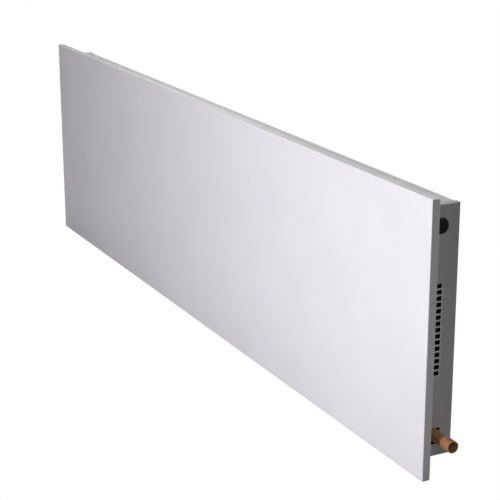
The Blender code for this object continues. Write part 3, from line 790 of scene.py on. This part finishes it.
def wall_spacer(side_name, level, look):
    """Rubber ring between the back sheet and the wall, round one fixing hole."""
    node = f"wall_spacer_{side_name}_{level}"
    low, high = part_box(node)
    middle = middle_of(node)
    ring = add_piece(
        node + "_ring",
        turned(spacer_outline((high.z - low.z) / 2, high.y - low.y), 40),
        "casing",
        look,
        replaces=[node],
        place=towards_room(middle.x, high.y, middle.z),
    )
    smooth(ring)


# ---------------------------------------------------------------- screws


def screw_outline(length):
    """Half section: head domed as an ellipse, then a shank whose thread has sharp crests."""
    outline = [(0, SCREW_HEAD)]
    for angle in SCREW_DOME_ANGLES:
        drop = (1 - math.cos(angle)) * SCREW_HEAD_RADIUS / 2
        outline.append((SCREW_HEAD_RADIUS * math.sin(angle), SCREW_HEAD - drop))
    outline += [(SCREW_HEAD_RADIUS, SCREW_RIM), (SCREW_HEAD_RADIUS, SCREW_PLAY)]
    outline.append((SCREW_SHANK_RADIUS, SCREW_PLAY))
    pitch = (length - SCREW_POINT) / SCREW_TURNS
    for turn in range(1, SCREW_TURNS + 1):
        crest = -turn * pitch
        outline.append((SCREW_SHANK_RADIUS - SCREW_THREAD, crest + SCREW_THREAD_RISE))
        outline.append((SCREW_SHANK_RADIUS, crest))
    outline.append((0, -length))
    return outline


def pan_screw(node, place, length, look):
    """Pan-head screw with a cross recess; its head starts at the placed origin."""
    screw = add_piece(
        node + "_cross_head",
        turned(screw_outline(length), 32),
        "casing",
        look,
        replaces=[node],
        place=place,
    )
    long, narrow, depth = SCREW_RECESS
    for half_x, half_y in ((long, narrow), (narrow, long)):
        recess = bmesh.new()
        box_into(recess, (-half_x, -half_y, SCREW_HEAD - depth), (half_x, half_y, 2 * SCREW_HEAD))
        recess.transform(place)
        cut(screw, recess)
    smooth(screw, 40)


def screws(look):
    for side_name, side in SIDES.items():
        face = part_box("end_plate_" + side_name)[side > 0].x
        for level in LEVELS:
            node = f"end_screw_{side_name}_{level}"
            middle = middle_of(node)
            pan_screw(node, along_x(face, middle.y, middle.z, side), END_SHANK, look)
    for place in SUPPORT_PLACES:
        for level in LEVELS:
            node = f"support_screw_{place}_{level}"
            middle = middle_of(node)
            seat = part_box(node)[0].y + SCREW_HEAD
            pan_screw(node, towards_room(middle.x, seat, middle.z), SUPPORT_SHANK, look)


# ---------------------------------------------------------------- heating element


def element_tube(look):
    """Copper tube with its cut ends slightly rounded over."""
    low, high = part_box("element_tube")
    middle = middle_of("element_tube")
    radius = (high.z - low.z) / 2
    inner = radius - TUBE_WALL + TUBE_LIP
    outer = radius - TUBE_LIP
    end = (high.x - low.x) / 2 - TUBE_LIP
    outline = arc((inner, -end), TUBE_LIP, 180, 270, 3)
    outline += arc((outer, -end), TUBE_LIP, 270, 360, 3)
    outline += arc((outer, end), TUBE_LIP, 0, 90, 3)
    outline += arc((inner, end), TUBE_LIP, 90, 180, 3)
    tube = add_piece(
        "element_tube_drawn",
        turned(outline, 72),
        "heating_element",
        look,
        replaces=["element_tube"],
        place=along_x(middle.x, middle.y, middle.z),
    )
    smooth(tube)


def fin_loops(half_width, half_height, collar_radius, collar_length):
    """Loops of (lift, y, z) from a fin's edge over its ripple to the collar's far end."""
    edge = rounded_rectangle(half_width, half_height, FIN_CORNER, 5)
    angles = [math.atan2(z, y) for y, z in edge]
    collar = [(collar_radius * math.cos(a), collar_radius * math.sin(a)) for a in angles]
    loops = []
    for share, lift in FIN_RIPPLE:
        ring = [Vector(near).lerp(Vector(far), share) for near, far in zip(collar, edge)]
        loops.append([(lift, y, z) for y, z in ring])
    for lift in (0.0, collar_length):
        loops.append([(lift, y, z) for y, z in collar])
    return loops


def fin_pack(node, look):
    """Close-set fins, each a rippled thin plate with a collar that reaches the next one."""
    low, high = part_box(node)
    tube_low, tube_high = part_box("element_tube")
    tube = middle_of("element_tube")
    start, end = low.x + FIN_PACK_MARGIN, high.x - FIN_PACK_MARGIN
    count = int((high.x - low.x) / FIN_PITCH)
    pitch = (end - start) / count
    loops = fin_loops(
        (high.y - low.y) / 2,
        (high.z - low.z) / 2,
        (tube_high.z - tube_low.z) / 2 + FIN_COLLAR,
        pitch - FIN_SHEET,
    )
    target = bmesh.new()
    for number in range(count):
        foot = Vector((start + number * pitch, tube.y, tube.z))
        rings = [[target.verts.new(foot + Vector(point)) for point in loop] for loop in loops]
        bridge(target, rings)
    pack = add_piece(
        node + "_close_fins",
        target,
        "heating_element",
        look,
        replaces=[node],
    )
    thicken(pack, FIN_SHEET)
    settle(pack)
    smooth(pack, 40)


def glide_outline(half_width, flange):
    """Section of the spool: two rounded flanges and the groove between them."""
    groove, groove_half = flange - GLIDE_GROOVE_DEPTH, GLIDE_GROOVE_HALF
    inner, outer = GLIDE_BORE + GLIDE_ROUND, flange - GLIDE_ROUND
    end = half_width - GLIDE_ROUND
    outline = arc((inner, -end), GLIDE_ROUND, 180, 270, 3)
    outline += arc((outer, -end), GLIDE_ROUND, 270, 360, 3)
    outline += [(flange, -groove_half), (groove, -groove_half)]
    outline += [(groove, groove_half), (flange, groove_half)]
    outline += arc((outer, end), GLIDE_ROUND, 0, 90, 3)
    outline += arc((inner, end), GLIDE_ROUND, 90, 180, 3)
    return outline


def tube_glide(place, look):
    """Nylon spool in which the tube slides."""
    node = "tube_glide_" + place
    low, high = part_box(node)
    middle = middle_of(node)
    glide = add_piece(
        node + "_spool",
        turned(glide_outline((high.x - low.x) / 2, (high.z - low.z) / 2), 48),
        "casing",
        look,
        replaces=[node],
        place=along_x(middle.x, middle.y, middle.z),
    )
    smooth(glide)


# ---------------------------------------------------------------- studio


def camera():
    """The camera, at the place and angle the heater is looked at from."""
    azimuth, elevation = CAMERA_AZIMUTH, CAMERA_ELEVATION
    forward = Vector(
        (
            -math.sin(azimuth) * math.cos(elevation),
            math.cos(azimuth) * math.cos(elevation),
            -math.sin(elevation),
        )
    )
    level = Vector((math.cos(azimuth), math.sin(azimuth), 0))
    upright = level.cross(forward)
    right = level * math.cos(CAMERA_ROLL) + upright * math.sin(CAMERA_ROLL)
    up = right.cross(forward)
    data = bpy.data.cameras.new("camera")
    data.lens = CAMERA_LENS
    data.sensor_width = CAMERA_SENSOR
    data.clip_start = 0.05
    made = bpy.data.objects.new("camera", data)
    turn = Matrix((right, up, -forward)).transposed().to_4x4()
    made.matrix_world = Matrix.Translation(CAMERA_PLACE) @ turn
    bpy.context.scene.collection.objects.link(made)
    bpy.context.scene.camera = made


def lamp(name, kind, place, power, target=None, **settings):
    data = bpy.data.lights.new(name, kind)
    data.energy = power
    for key, value in settings.items():
        setattr(data, key, value)
    made = bpy.data.objects.new(name, data)
    made.location = place
    if target is not None:
        made.rotation_mode = "QUATERNION"
        made.rotation_quaternion = (Vector(target) - Vector(place)).to_track_quat("-Z", "Y")
    made.visible_camera = False
    bpy.context.scene.collection.objects.link(made)


def lights():
    """Key light in front near the right end, soft lights overhead, weak fill behind."""
    lamp("key", "POINT", (0.59, -1.28, 0.46), 58, shadow_soft_size=0.08, color=(1.0, 0.975, 1.035))
    above = (-0.28, 0.5, 1.8)
    lamp("overhead", "AREA", above, 22, (-0.28, 0, 0.3), shape="RECTANGLE", size=2.0, size_y=0.8)
    lamp("right_high", "AREA", (2.1, -0.6, 1.5), 4.2, (0.5, 0, 0.2), shape="DISK", size=0.8)
    lamp("sheen", "AREA", (-2.42, 1.11, 0.87), 1.05, (0, 0, 0.3), shape="DISK", size=0.5)
    lamp("back_fill", "AREA", (0.4, 2.2, 0.5), 16, (0, 0, 0.2), shape="DISK", size=1.2)


def pale_surround():
    """White to the camera, dim grey to every other ray."""
    world = bpy.data.worlds.new("surround")
    bpy.context.scene.world = world
    world.use_nodes = True
    tree = world.node_tree
    plain = tree.nodes["Background"]
    plain.inputs["Color"].default_value = (0.9, 0.92, 1.0, 1)
    plain.inputs["Strength"].default_value = 0.01
    bright = tree.nodes.new("ShaderNodeBackground")
    bright.inputs["Color"].default_value = (1, 1, 1, 1)
    rays = tree.nodes.new("ShaderNodeLightPath")
    mix = tree.nodes.new("ShaderNodeMixShader")
    tree.links.new(rays.outputs["Is Camera Ray"], mix.inputs["Fac"])
    tree.links.new(plain.outputs["Background"], mix.inputs[1])
    tree.links.new(bright.outputs["Background"], mix.inputs[2])
    tree.links.new(mix.outputs["Shader"], tree.nodes["World Output"].inputs["Surface"])


def floor_look():
    """Pale plaster that the camera sees burnt out to white and everything else as dim."""
    look = Look("pale_floor")
    mottle = look.remap(look.noise(0.4), 0.3, 0.7, 0, 1)
    look.finish(
        Base_Color=look.blend(mottle, (0.34, 0.34, 0.34), (0.36, 0.36, 0.36)),
        Roughness=0.9,
    )
    white = look.add("Emission", {"Color": (1.0, 1.0, 1.0)})
    rays = look.add("LightPath", {})
    inputs = {
        0: rays.outputs["Is Camera Ray"],
        1: look.shader.outputs["BSDF"],
        2: white.outputs["Emission"],
    }
    mix = look.add("MixShader", inputs)
    output = look.tree.nodes["Material Output"]
    look.tree.links.new(mix.outputs["Shader"], output.inputs["Surface"])
    return look.material


def floor(look):
    """Plain pale floor just under the heater."""
    target = bmesh.new()
    bmesh.ops.create_grid(target, x_segments=2, y_segments=2, size=FLOOR_HALF_SIZE)
    mesh = bpy.data.meshes.new("floor")
    target.to_mesh(mesh)
    target.free()
    made = bpy.data.objects.new("floor", mesh)
    made.location = (0, 0, -FLOOR_DROP)
    bpy.context.scene.collection.objects.link(made)
    mesh.materials.append(look)


# ---------------------------------------------------------------- assembly


def repaint(look, *nodes):
    """Gives CAD nodes that stay in view their finished material."""
    for name in nodes:
        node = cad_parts[name]
        node.data.materials.clear()
        node.data.materials.append(look)


def dress_casing():
    grey = casing_enamel()
    # painted highlight: pale cut faces make the vents' rims bright
    edge = punched_edge_painted_highlight()
    rubber = black_rubber()
    # painted shade: back sheet and bottom tray are matt black inside the casing
    zinc_shade_painted_inside = galvanised_steel("galvanised_steel_primed_inside", painted_shade=True)
    for side_name, side in SIDES.items():
        end_plate(side_name, side, grey, edge)
        blanking_grommet(side_name, side, rubber)
        for level in LEVELS:
            wall_spacer(side_name, level, rubber)
    back_panel(zinc_shade_painted_inside)
    screws(zinc_plate())
    repaint(deck_enamel_painted_light(), "top_deck")
    repaint(zinc_shade_painted_inside, "bottom_tray")


def dress_element():
    element_tube(copper())
    fins = fin_aluminium()
    nylon = white_nylon()
    for name in ("left_end", "left", "right", "right_end"):
        fin_pack("fin_pack_" + name, fins)
    for place in SUPPORT_PLACES:
        tube_glide(place, nylon)


def dress_fittings():
    """The CAD's own brackets, hangers, ribs and damper, in bare zinc-coated sheet."""
    steel = galvanised_steel()
    for place in SUPPORT_PLACES:
        repaint(steel, "support_bracket_" + place, "top_hanger_" + place)
    for place in ("left", "right"):
        repaint(steel, "bottom_hanger_" + place, "damper_bracket_" + place)
    for level in LEVELS:
        repaint(steel, "panel_stiffener_" + level)
    repaint(steel, "damper_blade")


front_panel(panel_enamel())
dress_casing()
dress_element()
dress_fittings()
camera()
lights()
pale_surround()
floor(floor_look())
bpy.context.scene.view_settings.view_transform = "Standard"
